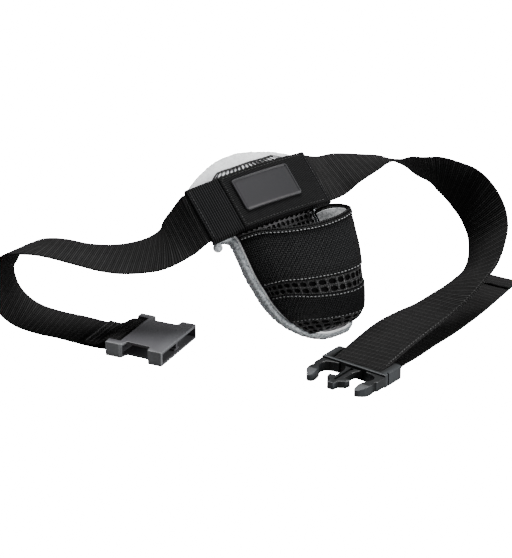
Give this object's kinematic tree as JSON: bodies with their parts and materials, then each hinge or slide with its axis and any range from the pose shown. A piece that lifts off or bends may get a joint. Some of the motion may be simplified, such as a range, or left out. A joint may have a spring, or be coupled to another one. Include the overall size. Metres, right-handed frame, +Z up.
{
  "type": "fishing fighting belt",
  "caption": "Fishing fighting belt: a padded rod-butt pocket with net bands below a webbing sleeve, on an open waist strap with a side-release buckle, laid on a flat surface.",
  "frame": {"origin": "on the surface that the belt lies on, under the middle of its bounding box", "axes": "+Z up, +X towards the side of the plug half of the buckle, +Y from the pocket's front to the pad's back"},
  "size_m": [0.4812, 0.2598, 0.1452],
  "materials": {
    "webbing": "ribbed webbing",
    "nylon": "heavy basket weave",
    "net": "coarse open net",
    "padding": "covered foam",
    "pale_binding": "mottled knit",
    "pale_lining": "plain cloth",
    "label_rubber": "smooth matte",
    "buckle_plastic": "satin moulded"
  },
  "bodies": {
    "root": {"belt_strap": "webbing", "buckle_socket": "buckle_plastic", "buckle_plug": "buckle_plastic", "pad_foam": "padding", "pad_net": "net", "pad_binding": "pale_binding", "sleeve": "nylon", "sleeve_panel": "nylon", "label_patch": "label_rubber", "pocket_upper_panel": "nylon", "pocket_net_band": "net", "pocket_lower_panel": "nylon", "pocket_net_foot": "net", "pocket_rim_binding": "webbing", "pocket_lining": "pale_lining"}
  },
  "joints": []
}
